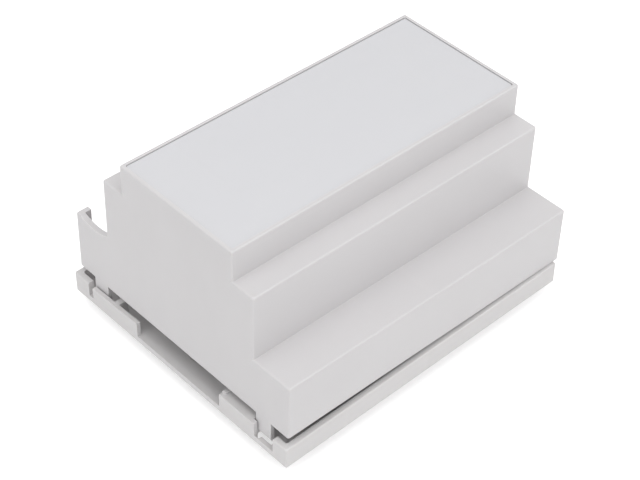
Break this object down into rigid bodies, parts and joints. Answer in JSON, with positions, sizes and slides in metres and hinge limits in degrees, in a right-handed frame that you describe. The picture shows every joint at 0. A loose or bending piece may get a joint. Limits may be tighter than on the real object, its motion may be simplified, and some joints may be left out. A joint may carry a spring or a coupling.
{
  "type": "din rail enclosure",
  "caption": "Light grey moulded rail-mount housing with a stepped cover, a lift-off front panel, an open terminal side and sliding rail latches.",
  "frame": {"origin": "middle of the flat underside that seats on the rail's flanges, on the rail's centre line", "axes": "+X along the rail, -Y towards the closed front side, +Y towards the open terminal side, +Z away from the rail towards the front panel"},
  "size_m": [0.1079, 0.0908, 0.0645],
  "materials": {
    "base_plastic": "fine matt moulded",
    "cover_plastic": "fine matt moulded",
    "panel_plastic": "smooth satin moulded",
    "latch_plastic": "fine matt moulded"
  },
  "bodies": {
    "base": {"base": "base_plastic"},
    "cover": {"cover": "cover_plastic"},
    "front_panel": {"front_panel": "panel_plastic"},
    "rail_latch_left": {"rail_latch_left": "latch_plastic"},
    "rail_latch_right": {"rail_latch_right": "latch_plastic"}
  },
  "joints": [
    {"name": "cover_lift", "type": "slide", "parent": "base", "child": "cover", "axis": [0, 0, 1], "range_m": [0, 0.04]},
    {"name": "panel_lift", "type": "slide", "parent": "cover", "child": "front_panel", "axis": [0.0238, 0, 0.9997], "range_m": [0, 0.02]},
    {"name": "latch_slide_left", "type": "slide", "parent": "base", "child": "rail_latch_left", "axis": [0, 1, 0], "range_m": [0, 0.0035], "stiffness_N_per_m": 1500},
    {"name": "latch_slide_right", "type": "slide", "parent": "base", "child": "rail_latch_right", "axis": [0, 1, 0], "range_m": [0, 0.0035], "stiffness_N_per_m": 1500}
  ]
}
